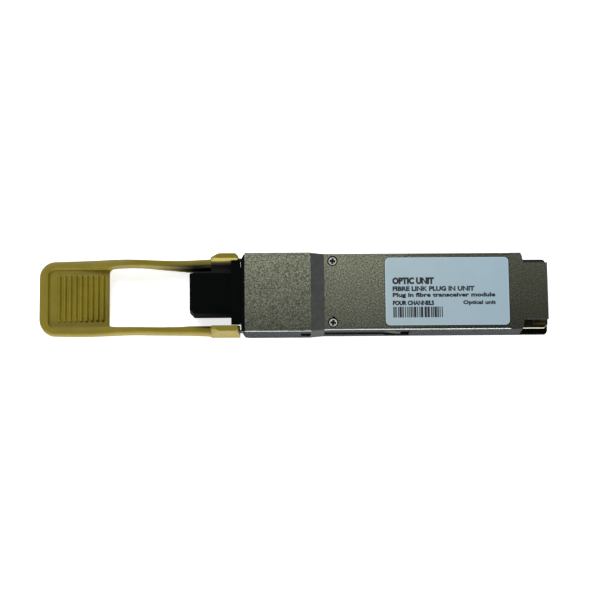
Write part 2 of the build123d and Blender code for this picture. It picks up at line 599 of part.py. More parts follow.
with BuildPart() as lens:
    block((LENS_X[0], -LENS_HALF, LENS_Z[0]), (LENS_X[1], LENS_HALF, LENS_Z[1]))
    both_sides((LENS_X[0], LENS_HALF - 0.3, CARD_TOP), (LENS_X[1], LENS_HALF, LENS_Z[0]))
    block((LENS_X[0], -RIBBON_HALF, RIBBON_END_Z - RIBBON_T / 2),
          (LENS_X[0] + 1.5, RIBBON_HALF, RIBBON_END_Z + RIBBON_T / 2), Mode.SUBTRACT)
    # sloping mirror that turns the light down to the chips
    with BuildSketch(Plane.XZ.offset(-2.0)):
        with BuildLine():
            Polyline((15.4, LENS_Z[1]), (16.6, LENS_Z[1]), (15.4, LENS_Z[1] - 0.9), close=True)
        make_face()
    extrude(amount=4.0, mode=Mode.SUBTRACT)
save(lens, "lens_block")

with BuildPart() as lens_clip:
    block((13.4, -LENS_HALF - 0.2, LENS_Z[1]), (15.0, LENS_HALF + 0.2, LENS_Z[1] + 0.2))
    both_sides((13.4, LENS_HALF, CARD_TOP), (15.0, LENS_HALF + 0.2, LENS_Z[1]))
    both_sides((13.4, LENS_HALF + 0.2, CARD_TOP), (15.0, LENS_HALF + 1.0, CARD_TOP + 0.2))
save(lens_clip, "lens_clip")


def chip(name, low, size):
    """Save a flat component standing on the card, low being its lower corner in X and Y."""
    with BuildPart() as body:
        block((low[0], low[1], CARD_TOP), (low[0] + size[0], low[1] + size[1], CARD_TOP + size[2]))
    save(body, name)


chip("laser_array", (13.3, -1.9), (0.35, 1.2, 0.15))
chip("photodiode_array", (13.3, 0.7), (0.35, 1.2, 0.15))
chip("laser_driver_chip", (14.2, -2.5), (2.4, 2.2, 0.3))
chip("receiver_amplifier_chip", (14.2, 0.3), (2.4, 2.2, 0.3))
chip("microcontroller", (28.0, -2.5), (5.0, 5.0, 0.85))
chip("power_regulator", (20.0, -1.5), (3.0, 3.0, 0.8))


def small_parts(name, rows, size):
    """Save a group of equal components; each row is a centre, a count and a pitch along Y."""
    with BuildPart() as group:
        for x, y, count, pitch in rows:
            for i in range(count):
                middle = y + (i - (count - 1) / 2) * pitch
                block((x - size[0] / 2, middle - size[1] / 2, CARD_TOP),
                      (x + size[0] / 2, middle + size[1] / 2, CARD_TOP + size[2]))
    save(group, name)


small_parts("chip_capacitors", ((44.5, 0, 16, 0.95), (35.5, 0, 6, 1.1), (26.0, 0, 5, 1.1)), (1.0, 0.5, 0.5))
small_parts("chip_resistors", ((38.0, 4.0, 5, 1.0), (38.0, -4.0, 5, 1.0), (10.0, 5.5, 2, 1.0)),
            (1.0, 0.5, 0.35))
small_parts("ferrite_beads", ((41.0, 3.0, 2, 1.6), (41.0, -3.0, 2, 1.6)), (1.6, 0.8, 0.8))

# ---------------------------------------------------------------- card with its edge contacts
with BuildPart() as card:
    with BuildSketch(Plane.XY.offset(CARD_LOW)):
        with BuildLine():
            Polyline((CARD_FRONT, CARD_NARROW), (CARD_STEP, CARD_NARROW), (CARD_STEP, CARD_HALF),
                     (CARD_END - CARD_CUT, CARD_HALF), (CARD_END, CARD_HALF - CARD_CUT),
                     (CARD_END, -CARD_HALF + CARD_CUT), (CARD_END - CARD_CUT, -CARD_HALF),
                     (CARD_STEP, -CARD_HALF), (CARD_STEP, -CARD_NARROW), (CARD_FRONT, -CARD_NARROW),
                     close=True)
        make_face()
        with Locations((POST_X, POST_Y), (POST_X, -POST_Y)):
            Circle(CARD_SCREW_R, mode=Mode.SUBTRACT)
    extrude(amount=CARD_TOP - CARD_LOW)
save(card, "paddle_card")

for name, low in (("top_contact_pads", CARD_TOP), ("bottom_contact_pads", CARD_LOW - PAD_T)):
    with BuildPart() as pads:
        with BuildSketch(Plane.XY.offset(low)):
            with Locations(((PAD_X[0] + PAD_X[1]) / 2, 0)):
                with GridLocations(0, PAD_PITCH, 1, PAD_COUNT):
                    Rectangle(PAD_X[1] - PAD_X[0], PAD_W)
        extrude(amount=PAD_T)
    save(pads, name)

with BuildPart() as card_screws:
    with BuildSketch(Plane.XY.offset(FLOOR + 0.8)):
        with Locations((POST_X, POST_Y), (POST_X, -POST_Y)):
            Circle(CARD_SCREW_R)
    extrude(amount=CARD_TOP - FLOOR - 0.8)
    with BuildSketch(Plane.XY.offset(CARD_TOP)):
        with Locations((POST_X, POST_Y), (POST_X, -POST_Y)):
            Circle(0.95)
            Rectangle(1.2, 0.25, mode=Mode.SUBTRACT)
    extrude(amount=0.5)
    with BuildSketch(Plane.XY.offset(CARD_TOP)):
        with Locations((POST_X, POST_Y), (POST_X, -POST_Y)):
            Circle(0.95)
    extrude(amount=0.2)
save(card_screws, "card_screws")

# ---------------------------------------------------------------- heat path and absorber
with BuildPart() as spreader:
    block((9.0, -5.5, 2.9), (21.5, 5.5, CARD_LOW))
save(spreader, "heat_spreader")

with BuildPart() as lower_pad:
    block((10.0, -5.0, FLOOR), (20.5, 5.0, 2.9))
save(lower_pad, "lower_thermal_pad")

with BuildPart() as upper_pad:
    block((28.0, -2.5, CARD_TOP + 0.85), (33.0, 2.5, PEDESTAL_LOW))
save(upper_pad, "upper_thermal_pad")

with BuildPart() as absorber:
    block((6.0, -6.0, 6.95), (24.0, 6.0, COVER_UNDER))
save(absorber, "absorber_sheet")
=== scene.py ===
"""Looks of the pluggable optical transceiver module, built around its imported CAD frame.

Everything is in metres in the frame's own axes: X towards the card edge, Y across, Z up through
the label. MM turns the millimetres used below into metres.
"""
import math
import random

import bmesh
import bpy
from mathutils import Matrix, Vector


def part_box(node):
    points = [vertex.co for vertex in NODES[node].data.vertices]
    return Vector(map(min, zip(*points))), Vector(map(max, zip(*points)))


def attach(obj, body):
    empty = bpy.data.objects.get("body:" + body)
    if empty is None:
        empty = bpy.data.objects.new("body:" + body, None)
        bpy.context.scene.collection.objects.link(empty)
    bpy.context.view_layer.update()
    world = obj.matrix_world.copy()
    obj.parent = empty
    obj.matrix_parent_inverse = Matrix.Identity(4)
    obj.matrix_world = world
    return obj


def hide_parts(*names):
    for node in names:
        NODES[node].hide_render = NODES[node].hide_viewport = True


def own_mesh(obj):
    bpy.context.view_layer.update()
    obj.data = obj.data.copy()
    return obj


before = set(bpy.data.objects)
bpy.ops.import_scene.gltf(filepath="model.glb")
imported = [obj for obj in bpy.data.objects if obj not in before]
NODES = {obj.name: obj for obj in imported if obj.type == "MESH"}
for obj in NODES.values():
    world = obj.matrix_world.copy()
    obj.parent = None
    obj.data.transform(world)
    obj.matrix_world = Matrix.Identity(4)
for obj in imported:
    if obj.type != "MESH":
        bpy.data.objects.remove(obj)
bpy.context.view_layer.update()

MM = 0.001

# ---------------------------------------------------------------- camera
CAMERA_TARGET = Vector((-5.767, -1.951, 8.5)) * MM
CAMERA_DISTANCE = 560.7 * MM
CAMERA_ANGLE = math.radians(14.37)
CAMERA_ROLL = 0.0066
CAMERA_YAW = 0.0207
CAMERA_TILT = -0.1998


def add_camera():
    """A long lens almost straight above the label, leaning a little to the -Y side."""
    turn = (Matrix.Rotation(CAMERA_ROLL, 3, "Z") @ Matrix.Rotation(CAMERA_YAW, 3, "Y")
            @ Matrix.Rotation(CAMERA_TILT, 3, "X"))
    data = bpy.data.cameras.new("camera")
    data.lens_unit = "FOV"
    data.angle = CAMERA_ANGLE
    data.clip_start = 0.01
    data.clip_end = 20
    camera = bpy.data.objects.new("camera", data)
    place = turn.transposed() @ Vector((0, 0, CAMERA_DISTANCE)) + CAMERA_TARGET
    camera.matrix_world = Matrix.Translation(place) @ turn.transposed().to_4x4()
    bpy.context.scene.collection.objects.link(camera)
    bpy.context.scene.camera = camera


# ---------------------------------------------------------------- light and floor
LIGHT_TARGET = Vector((-0.007, 0, 0))
FRONT_PLACE = (0.02, -0.62, 0.17)
FRONT_SIZE = (0.9, 0.18)
FRONT_ENERGY = 6.9
FRONT_COLOUR = (1.0, 0.985, 0.95)
BACK_PLACE = (-0.3, 0.5, 0.55)
BACK_SIZE = (0.6, 0.4)
BACK_ENERGY = 6.6
BACK_COLOUR = (0.97, 0.99, 1.0)
WORLD_COLOUR = (0.9, 0.95, 1.0, 1)
WORLD_STRENGTH = 0.17
FLOOR_HALF = 1.5
FLOOR_COLOUR = (0.85, 0.85, 0.85, 1)
FLOOR_ROUGHNESS = 0.9
FLOOR_GLOW = 0.75
FLOOR_DROP = 0.0002


def area_light(name, place, size, energy, colour):
    """A soft rectangular light that faces the middle of the object."""
    data = bpy.data.lights.new(name, "AREA")
    data.shape = "RECTANGLE"
    data.size, data.size_y = size
    data.energy = energy
    data.color = colour
    light = bpy.data.objects.new(name, data)
    light.location = place
    aim = LIGHT_TARGET - Vector(place)
    light.rotation_euler = aim.to_track_quat("-Z", "Y").to_euler()
    bpy.context.scene.collection.objects.link(light)


def add_studio():
    """White glowing floor, a low soft light in front, a high one behind, and a dim pale sky."""
    world = bpy.data.worlds.new("studio")
    bpy.context.scene.world = world
    world.use_nodes = True
    background = world.node_tree.nodes["Background"]
    background.inputs["Color"].default_value = WORLD_COLOUR
    background.inputs["Strength"].default_value = WORLD_STRENGTH
    area_light("front_light", FRONT_PLACE, FRONT_SIZE, FRONT_ENERGY, FRONT_COLOUR)
    area_light("back_light", BACK_PLACE, BACK_SIZE, BACK_ENERGY, BACK_COLOUR)

    mesh = bpy.data.meshes.new("floor")
    signs = ((-1, -1), (1, -1), (1, 1), (-1, 1))
    corners = [(x * FLOOR_HALF, y * FLOOR_HALF, 0) for x, y in signs]
    mesh.from_pydata(corners, [], [(0, 1, 2, 3)])
    floor = bpy.data.objects.new("floor", mesh)
    floor.location.z = -FLOOR_DROP
    bpy.context.scene.collection.objects.link(floor)
    material = bpy.data.materials.new("pale_floor")
    material.use_nodes = True
    shader = material.node_tree.nodes["Principled BSDF"]
    shader.inputs["Base Color"].default_value = FLOOR_COLOUR
    shader.inputs["Roughness"].default_value = FLOOR_ROUGHNESS
    shader.inputs["Emission Color"].default_value = (1, 1, 1, 1)
    shader.inputs["Emission Strength"].default_value = FLOOR_GLOW
    mesh.materials.append(material)


# ---------------------------------------------------------------- tones of the casting, with its painted light and shade
# multipliers of its colour, at shares of each span in mm; the across, along and depth ones paint
# light and shade
ACROSS_SPAN = (-9, 9)
ALONG_SPAN = (-4, 44)
DEPTH_SPAN = (0, 9)
# painted shade across: darker towards the -Y side, lighter towards the +Y side
ACROSS_SHADE = [(0.0, (0.62, 0.62, 0.64)), (1.0, (1.35, 1.33, 1.3))]
# painted light and shade along X: lighter just behind the nose, darker towards the card end
COVER_ALONG_SHADE = [(0.0, (1.0, 1.0, 1.0)), (0.15, (1.17, 1.17, 1.17)), (0.375, (1.17, 1.17, 1.17)),
               (1.0, (0.58, 0.58, 0.59))]
# the same painted light and shade for the housing, darkening sooner along X
HOUSING_ALONG_SHADE = [(0.0, (1.0, 1.0, 1.0)), (0.15, (1.17, 1.17, 1.17)), (0.375, (1.0, 1.0, 1.0)),
                 (0.55, (0.5, 0.5, 0.5)), (1.0, (0.4, 0.4, 0.41))]
TAIL_X = (43.0, 46.0)          # the grain grows calmer over this stretch
TAIL_CALM = 0.42
EDGE_HIGHLIGHT_X = (2, 12)             # the painted highlight on the edges grows over this stretch
# painted highlight on edges whose normal rises partway, as if they caught the front light
EDGE_HIGHLIGHT = [(0.3, (0, 0, 0)), (0.55, (0.05, 0.053, 0.053)), (0.74, (0.05, 0.053, 0.053)),
               (0.8, (0, 0, 0))]
# painted shade in recesses: near black below 8.1 mm, as in the screw wells, dark on the label
# recess floor
COVER_DEPTH_SHADE = [(0.9, (0.04, 0.04, 0.04)), (0.92, (0.3, 0.32, 0.32)), (0.938, (0.3, 0.32, 0.32)),
               (0.943, (1, 1, 1))]
# painted shade: darker towards the bottom
HOUSING_DEPTH_SHADE = [(0.2, (0.28, 0.3, 0.26)), (0.8, (0.6, 0.6, 0.6)), (0.9, (1, 1, 1))]


# ---------------------------------------------------------------- material helpers
class Paint:
    """A Principled material with small helpers for procedural detail in object space."""

    def __init__(self, name, base, roughness, metallic=0.0, **sockets):
        self.material = bpy.data.materials.new(name)
        self.material.use_nodes = True
        self.tree = self.material.node_tree
        self.shader = self.tree.nodes["Principled BSDF"]
        self.shader.inputs["Base Color"].default_value = (*base, 1)
        self.shader.inputs["Roughness"].default_value = roughness
        self.shader.inputs["Metallic"].default_value = metallic
        for socket, value in sockets.items():
            self.shader.inputs[socket.replace("_", " ")].default_value = value
        self.coords = self.tree.nodes.new("ShaderNodeTexCoord")
        self.height = None

    def link(self, a, b):
        self.tree.links.new(a, b)

    def noise(self, size_mm, detail=3.0, roughness=0.55, stretch=(1, 1, 1)):
        """Noise whose features are about size_mm across, optionally stretched along axes."""
        mapping = self.tree.nodes.new("ShaderNodeMapping")
        mapping.inputs["Scale"].default_value = stretch
        self.link(self.coords.outputs["Object"], mapping.inputs["Vector"])
        node = self.tree.nodes.new("ShaderNodeTexNoise")
        node.inputs["Scale"].default_value = 1 / (size_mm * MM)
        node.inputs["Detail"].default_value = detail
        node.inputs["Roughness"].default_value = roughness
        self.link(mapping.outputs["Vector"], node.inputs["Vector"])
        return node.outputs["Fac"]

    def ramp(self, source, stops):
        """Colour ramp through (position, colour) stops."""
        node = self.tree.nodes.new("ShaderNodeValToRGB")
        elements = node.color_ramp.elements
        while len(elements) < len(stops):
            elements.new(0.5)
        for element, (position, colour) in zip(elements, stops):
            element.position = position
            element.color = (*colour, 1)
        self.link(source, node.inputs["Fac"])
        return node.outputs["Color"]

    def mix(self, a, b, factor, mode="MIX"):
        """Mix two colours; factor is a socket or a number."""
        node = self.tree.nodes.new("ShaderNodeMix")
        node.data_type = "RGBA"
        node.blend_type = mode
        for socket, value in ((node.inputs[6], a), (node.inputs[7], b), (node.inputs[0], factor)):
            if isinstance(value, (int, float)):
                socket.default_value = value
            elif isinstance(value, tuple):
                socket.default_value = (*value, 1)
            else:
                self.link(value, socket)
        return node.outputs[2]

    def span(self, source, low, high, start=0.0, end=1.0):
        """Map a value from start..end to low..high."""
        node = self.tree.nodes.new("ShaderNodeMapRange")
        node.inputs["From Min"].default_value = start
        node.inputs["From Max"].default_value = end
        node.inputs["To Min"].default_value = low
        node.inputs["To Max"].default_value = high
        self.link(source, node.inputs["Value"])
        return node.outputs["Result"]

    def facing_up(self, start, end):
        """0 on faces whose normal rises less than start, 1 on those that rise more than end."""
        geometry = self.tree.nodes.new("ShaderNodeNewGeometry")
        normal = self.tree.nodes.new("ShaderNodeSeparateXYZ")
        self.link(geometry.outputs["Normal"], normal.inputs["Vector"])
        return self.span(self.node_math("ABSOLUTE", normal.outputs["Z"]), 0, 1, start, end)

    def facing_down(self, start, end):
        """1 on faces whose normal rises less than start, 0 on those that rise more than end."""
        return self.span(self.facing_up(start, end), 1, 0)

    def node_math(self, operation, *sources):
        """One step of arithmetic on numbers."""
        node = self.tree.nodes.new("ShaderNodeMath")
        node.operation = operation
        for source, socket in zip(sources, node.inputs):
            self.link(source, socket)
        return node.outputs[0]

    def mix_values(self, a, b, factor):
        """Mix two numbers."""
        node = self.tree.nodes.new("ShaderNodeMix")
        for name, value in (("A", a), ("B", b), ("Factor", factor)):
            self.link(value, node.inputs[name])
        return node.outputs["Result"]

    def axis(self, name):
        """The object coordinate along X, Y or Z, in metres."""
        node = self.tree.nodes.new("ShaderNodeSeparateXYZ")
        self.link(self.coords.outputs["Object"], node.inputs["Vector"])
        return node.outputs[name]

    def zone(self, *limits):
        """1 where the object coordinates pass every limit, 0 outside.

        A limit is (axis, (outside, inside)) in mm: 0 at the first place, 1 at the second.
        """
        share = None
        for name, (outside, inside) in limits:
            ends = (0, 1) if outside < inside else (1, 0)
            step = self.span(self.axis(name), *ends, *mm(sorted((outside, inside))))
            share = step if share is None else self.node_math("MULTIPLY", share, step)
        return share

    def colour(self, socket):
        self.link(socket, self.shader.inputs["Base Color"])

    def rough(self, socket):
        self.link(socket, self.shader.inputs["Roughness"])

    def bump(self, source, depth_mm, strength=1.0):
        """Add a bump of the given depth; several bumps chain."""
        node = self.tree.nodes.new("ShaderNodeBump")
        node.inputs["Strength"].default_value = strength
        node.inputs["Distance"].default_value = depth_mm * MM
        self.link(source, node.inputs["Height"])
        if self.height is not None:
            self.link(self.height, node.inputs["Normal"])
        self.height = node.outputs["Normal"]
        self.link(self.height, self.shader.inputs["Normal"])


def mm(span):
    """A pair of millimetre values in metres."""
    return tuple(value * MM for value in span)


def srgb(red, green, blue):
    """Linear colour of an 8 bit screen colour."""
    return tuple(((c / 255 + 0.055) / 1.055) ** 2.4 if c > 10 else c / 3295
                 for c in (red, green, blue))


# ---------------------------------------------------------------- materials
def cast_zinc(name, along_shade, depth_shade):
    """Nickel plated zinc casting.

    The top is olive grey with a sand-cast grain. Painted shade darkens it towards the near side,
    the card end and, by depth_shade, the bottom of its recesses; along_shade also paints light
    along X.
    The sides are smoother, greyer and bluer, and the edges between carry a painted highlight.
    """
    paint = Paint(name, srgb(104, 106, 92), 0.5, 0.95, Specular_IOR_Level=0.1,
                  Specular_Tint=(0.1, 0.11, 0.12, 1))
    grain = paint.noise(0.34, 3.0, 0.7)
    fine = paint.noise(0.15, 2.0, 0.6)
    cloud = paint.noise(5.0, 3.0)
    top = paint.ramp(grain, [(0.34, srgb(68, 69, 56)), (0.5, srgb(107, 109, 94)),
                             (0.66, srgb(150, 152, 136))])
    # painted shade across, painted light and shade along X, painted shade low down and in recesses
    across = paint.ramp(paint.span(paint.axis("Y"), 0, 1, *mm(ACROSS_SPAN)), ACROSS_SHADE)
    along = paint.ramp(paint.span(paint.axis("X"), 0, 1, *mm(ALONG_SPAN)), along_shade)
    depth = paint.ramp(paint.span(paint.axis("Z"), 0, 1, *mm(DEPTH_SPAN)), depth_shade)
    calm = paint.span(paint.axis("X"), 0, TAIL_CALM, *mm(TAIL_X))
    top = paint.mix(top, srgb(107, 109, 94), calm)
    for tone in (across, along, depth):
        top = paint.mix(top, tone, 1.0, "MULTIPLY")
    side = paint.ramp(paint.noise(0.3, 3.0, 0.6),
                      [(0.3, srgb(98, 101, 103)), (0.7, srgb(115, 119, 121))])
    upward = paint.facing_up(0.8, 0.97)
    body = paint.mix(side, top, upward)
    # painted highlight on the sloping edges, weak on the nose and full from 12 mm along X
    edge_glint = paint.ramp(paint.facing_up(0.0, 1.0), EDGE_HIGHLIGHT)
    shine = paint.mix((0, 0, 0), edge_glint, paint.span(paint.axis("X"), 0.12, 1, *mm(EDGE_HIGHLIGHT_X)))
    body = paint.mix(body, shine, 1.0, "ADD")
    stain = paint.ramp(cloud, [(0.3, (0.94, 0.94, 0.93)), (0.7, (1.03, 1.03, 1.02))])
    paint.colour(paint.mix(body, stain, 1.0, "MULTIPLY"))
    paint.rough(paint.mix_values(paint.span(fine, 0.34, 0.46), paint.span(fine, 0.42, 0.62),
                                 upward))
    paint.bump(grain, 0.03)
    paint.bump(fine, 0.012)
    return paint.material


def gasket_rubber():
    """Conductive elastomer: dark, smooth, faintly mottled."""
    paint = Paint("gasket_rubber", srgb(58, 60, 59), 0.7, Specular_IOR_Level=0.05)
    cloud = paint.noise(1.6, 3.0)
    paint.colour(paint.ramp(cloud, [(0.3, srgb(60, 62, 60)), (0.7, srgb(69, 71, 69))]))
    paint.rough(paint.span(paint.noise(0.3), 0.66, 0.8))
    paint.bump(paint.noise(0.25), 0.004)
    return paint.material


LABEL_X = (14.39, 43.65)
LABEL_HALF = 8.17
# width in mm and tone of the painted highlight along the label's edges
LABEL_GLINT_WIDTH = 0.3
LABEL_GLINT_TONE = (1.22, 1.2, 1.16)


def label_film():
    """Printed film: pale blue grey with a very faint mottle, a slow change along its length,
    painted shade towards the -Y side and a painted highlight along its edges.
    """
    paint = Paint("label_film", srgb(161, 184, 193), 0.42)
    along = paint.span(paint.axis("X"), 0, 1, 14 * MM, 44 * MM)
    tint = paint.ramp(along, [(0.0, srgb(160, 179, 186)), (1.0, srgb(154, 176, 188))])
    # painted shade: darker towards the -Y side
    across = paint.ramp(paint.span(paint.axis("Y"), 0, 1, -8 * MM, 8 * MM),
                        [(0.0, (0.93, 0.93, 0.93)), (1.0, (1, 1, 1))])
    tint = paint.mix(tint, across, 1.0, "MULTIPLY")
    mottle = paint.ramp(paint.noise(3.5, 4.0), [(0.3, (0.93, 0.93, 0.93)), (0.7, (1, 1, 1))])
    tint = paint.mix(tint, mottle, 0.5, "MULTIPLY")
    # painted highlight along each edge of the label
    for axis, low, high in (("X", LABEL_X[0], LABEL_X[1]), ("Y", -LABEL_HALF, LABEL_HALF)):
        place = paint.span(paint.axis(axis), 0, 1, low * MM, high * MM)
        width = LABEL_GLINT_WIDTH / (high - low)
        label_glint = paint.ramp(place, [(0.0, LABEL_GLINT_TONE), (width, (1, 1, 1)), (1 - width, (1, 1, 1)),
                                 (1.0, LABEL_GLINT_TONE)])
        tint = paint.mix(tint, label_glint, 1.0, "MULTIPLY")
    paint.colour(tint)
    paint.rough(paint.span(paint.noise(0.2), 0.38, 0.48))
    paint.bump(paint.noise(0.15), 0.002)
    return paint.material


def print_ink():
    """Thermal print on the label."""
    paint = Paint("print_ink", srgb(22, 28, 38), 0.6)
    paint.colour(paint.ramp(paint.noise(0.12), [(0.35, srgb(6, 9, 15)), (0.7, srgb(24, 30, 40))]))
    paint.rough(paint.span(paint.noise(0.3), 0.5, 0.7))
    return paint.material


NEAR_PLUG = ("X", (-40.0, -31.0))
# places of the painted shade beside the plug and of the painted highlight on the lip above it
PLUG_FLANK_SHADE = (NEAR_PLUG, ("Y", (5.5, 6.0)), ("Y", (8.0, 7.35)), ("Z", (7.8, 4.6)))
LIP_HIGHLIGHT = (NEAR_PLUG, ("Y", (7.6, 7.75)), ("Y", (8.4, 8.2)), ("Z", (7.5, 8.0)))


def tab_rubber():
    """Khaki elastomer: satin and slightly uneven, with painted shade on one flank and a painted
    highlight on one lip.
    """
    paint = Paint("tab_rubber", srgb(114, 101, 20), 0.45, Specular_IOR_Level=0.24)
    cloud = paint.noise(5.0, 3.0)
    fine = paint.noise(0.5, 3.0)
    body = paint.ramp(cloud, [(0.3, srgb(113, 100, 17)), (0.7, srgb(122, 108, 26))])
    speck = paint.ramp(fine, [(0.3, (0.93, 0.93, 0.92)), (0.7, (1, 1, 1))])
    body = paint.mix(body, speck, 0.7, "MULTIPLY")
    # painted shade: the inner flank beside the plug on the +Y side is almost black
    flank_shade = paint.zone(*PLUG_FLANK_SHADE)
    # painted highlight: the lip above it is painted pale
    lip_glint = paint.node_math("MULTIPLY", paint.zone(*LIP_HIGHLIGHT), paint.facing_down(0.5, 0.8))
    body = paint.mix(body, srgb(178, 168, 96), lip_glint)
    paint.colour(paint.mix(body, srgb(8, 6, 3), flank_shade))
    paint.rough(paint.node_math("MAXIMUM", paint.span(paint.noise(1.2), 0.4, 0.56),
                                paint.span(flank_shade, 0, 0.95)))
    paint.bump(fine, 0.008)
    paint.bump(paint.noise(0.12), 0.003)
    return paint.material


def black_plastic(name, shade, roughness):
    """Moulded black plastic with a fine spark-eroded texture."""
    paint = Paint(name, srgb(*shade), roughness, Specular_IOR_Level=0.02)
    fine = paint.noise(0.2, 2.0)
    lighter = tuple(c + 4 for c in shade)
    paint.colour(paint.ramp(fine, [(0.35, srgb(*shade)), (0.7, srgb(*lighter))]))
    paint.rough(paint.span(paint.noise(0.8), roughness - 0.06, roughness + 0.1))
    paint.bump(fine, 0.008)
    return paint.material


def steel(name, shade, roughness, stretch=(1, 1, 1)):
    """Bare or plated steel with fine drawing lines."""
    paint = Paint(name, srgb(*shade), roughness, 1.0)
    lines = paint.noise(0.3, 3.0, stretch=stretch)
    darker = tuple(int(c * 0.82) for c in shade)
    paint.colour(paint.ramp(lines, [(0.3, srgb(*darker)), (0.7, srgb(*shade))]))
    paint.rough(paint.span(lines, roughness - 0.06, roughness + 0.08))
    paint.bump(lines, 0.003)
    return paint.material


SCREW_SHADE_Z = (8.2, 8.3)      # painted shade: the screw is dark below this height, as at the bottom of the cross recess
SCREW_X_SPAN = (1.0, 3.0)      # 1 mm to both sides of a screw's axis
SCREW_Y_SPAN = (6.4, 8.4)
CROSS_EDGE = (0.2, 0.3)        # half width of the cross's arms, in mm
CROSS_END = (0.66, 0.74)


def screw_steel():
    """Bright plated screw head whose cross recess carries painted shade, dark and a little wider
    than modelled.
    """
    paint = Paint("screw_steel", srgb(196, 196, 192), 0.4, 0.15)
    lines = paint.noise(0.12, 3.0)
    bright = paint.ramp(lines, [(0.3, srgb(150, 150, 146)), (0.7, srgb(214, 214, 210))])
    raised = paint.span(paint.axis("Z"), 0, 1, *mm(SCREW_SHADE_Z))
    off_x = paint.span(paint.axis("X"), -1, 1, *mm(SCREW_X_SPAN))
    off_x = paint.node_math("ABSOLUTE", off_x)
    off_y = paint.node_math("ABSOLUTE", paint.axis("Y"))
    off_y = paint.node_math("ABSOLUTE", paint.span(off_y, -1, 1, *mm(SCREW_Y_SPAN)))
    inside = paint.node_math("MAXIMUM", off_x, off_y)
    arm = paint.node_math("MINIMUM", off_x, off_y)
    unshaded = paint.node_math("MAXIMUM", paint.span(arm, 0, 1, *CROSS_EDGE),
                            paint.span(inside, 0, 1, *CROSS_END))
    raised = paint.node_math("MULTIPLY", raised, unshaded)
    # painted shade in the cross recess and below its rim
    paint.colour(paint.mix(srgb(14, 14, 15), bright, raised))
    paint.rough(paint.span(lines, 0.34, 0.5))
    paint.bump(lines, 0.003)
    return paint.material


def card_laminate():
    """Circuit card: dark mask on its faces, cream glass epoxy on its cut edges."""
    paint = Paint("card_laminate", srgb(40, 42, 26), 0.4)
    mask = paint.ramp(paint.noise(0.8), [(0.3, srgb(14, 17, 10)), (0.7, srgb(32, 32, 20))])
    weave = paint.ramp(paint.noise(0.12, 2.0, stretch=(1, 1, 4)),
                       [(0.3, srgb(160, 160, 140)), (0.7, srgb(214, 212, 190))])
    face = paint.facing_up(0.4, 0.6)
    paint.colour(paint.mix(weave, mask, face))
    paint.rough(paint.span(face, 0.7, 0.35))
    paint.bump(paint.noise(0.4), 0.004)
    return paint.material


def gold_plate():
    """Hard gold on the contacts, with faint wear marks along X."""
    paint = Paint("gold_plate", srgb(178, 148, 92), 0.32, 1.0)
    wear = paint.noise(0.25, 3.0, stretch=(0.2, 1, 1))
    paint.colour(paint.ramp(wear, [(0.35, srgb(150, 118, 70)), (0.7, srgb(205, 175, 112))]))
    paint.rough(paint.span(wear, 0.26, 0.42))
    paint.bump(wear, 0.002)
    return paint.material


def moulded(name, shade, roughness, size=0.4, **sockets):
    """A small component's body: one colour with fine mottle and bump."""
    paint = Paint(name, srgb(*shade), roughness, **sockets)
    fine = paint.noise(size, 3.0)
    darker = tuple(int(c * 0.88) for c in shade)
    paint.colour(paint.ramp(fine, [(0.3, srgb(*darker)), (0.7, srgb(*shade))]))
    paint.rough(paint.span(fine, roughness - 0.05, roughness + 0.08))
    paint.bump(fine, 0.004)
    return paint.material


def assign(material, *names):
    """Give CAD nodes one material in every slot."""
    for name in names:
        mesh = NODES[name].data
        mesh.materials.clear()
        mesh.materials.append(material)


def assign_materials():
    assign(cast_zinc("housing_zinc", HOUSING_ALONG_SHADE, HOUSING_DEPTH_SHADE), "lower_housing")
    assign(cast_zinc("cover_zinc", COVER_ALONG_SHADE, COVER_DEPTH_SHADE), "upper_cover")
    assign(gasket_rubber(), "emi_gasket")
    assign(label_film(), "product_label")
    assign(tab_rubber(), "pull_tab")
    assign(black_plastic("plug_plastic", (4, 5, 5), 0.7), "dust_plug")
    assign(black_plastic("receptacle_plastic", (6, 6, 7), 0.55), "fibre_receptacle", "front_bezel")
    assign(black_plastic("ferrule_compound", (30, 30, 31), 0.4), "mt_ferrule")
    assign(screw_steel(), "cover_screws", "card_screws")
    assign(steel("latch_steel", (52, 52, 50), 0.52, (0.15, 1, 1)), "left_latch_arm",
           "right_latch_arm")
    assign(steel("strip_steel", (92, 92, 90), 0.4, (0.15, 1, 1)), "lens_clip", "pin_keeper",
           "guide_pins", "latch_return_springs")
    assign(card_laminate(), "paddle_card")
    assign(gold_plate(), "top_contact_pads", "bottom_contact_pads")
    assign(moulded("ribbon_coating", (96, 190, 184), 0.35), "fibre_ribbon")
    assign(moulded("lens_moulding", (190, 140, 64), 0.15, Transmission_Weight=0.5), "lens_block")
    assign(moulded("chip_body", (26, 26, 28), 0.35), "microcontroller", "power_regulator",
           "laser_driver_chip", "receiver_amplifier_chip", "laser_array", "photodiode_array")
    assign(moulded("capacitor_body", (158, 128, 92), 0.4), "chip_capacitors")
    assign(moulded("resistor_body", (28, 28, 30), 0.35), "chip_resistors")
    assign(moulded("ferrite_body", (60, 60, 62), 0.5), "ferrite_beads")
    assign(steel("spreader_plate", (196, 128, 92), 0.35), "heat_spreader")
    assign(moulded("thermal_gel", (190, 184, 200), 0.7), "lower_thermal_pad", "upper_thermal_pad")
    assign(moulded("absorber_film", (36, 36, 38), 0.7), "absorber_sheet")


